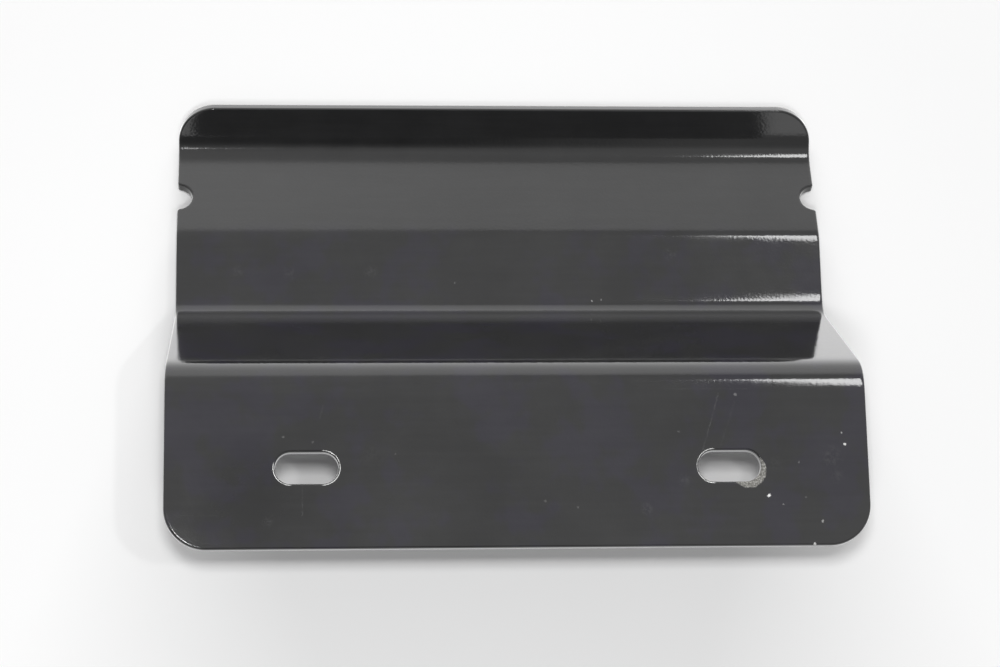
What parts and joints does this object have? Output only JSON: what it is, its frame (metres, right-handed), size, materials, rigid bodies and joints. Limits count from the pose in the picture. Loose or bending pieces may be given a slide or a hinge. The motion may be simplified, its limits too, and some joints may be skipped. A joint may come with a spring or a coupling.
{
  "type": "stepped sheet-metal bracket",
  "caption": "Folded steel bracket: a slotted plate, a web that steps down to a parallel ledge, a leaning flare with notched sides and a short turned-up lip.",
  "frame": {"origin": "middle of the slot pattern, on the slotted plate's back face", "axes": "+Z out of the slotted plate's front face, +X along the width, +Y from the plate's free edge towards the lip"},
  "size_m": [0.2, 0.1496, 0.0692],
  "materials": {
    "powder_coat": "glossy dark grey powder coat with light orange peel, chipped to bare metal beside one slot"
  },
  "bodies": {
    "root": {"bracket": "powder_coat"}
  },
  "joints": []
}
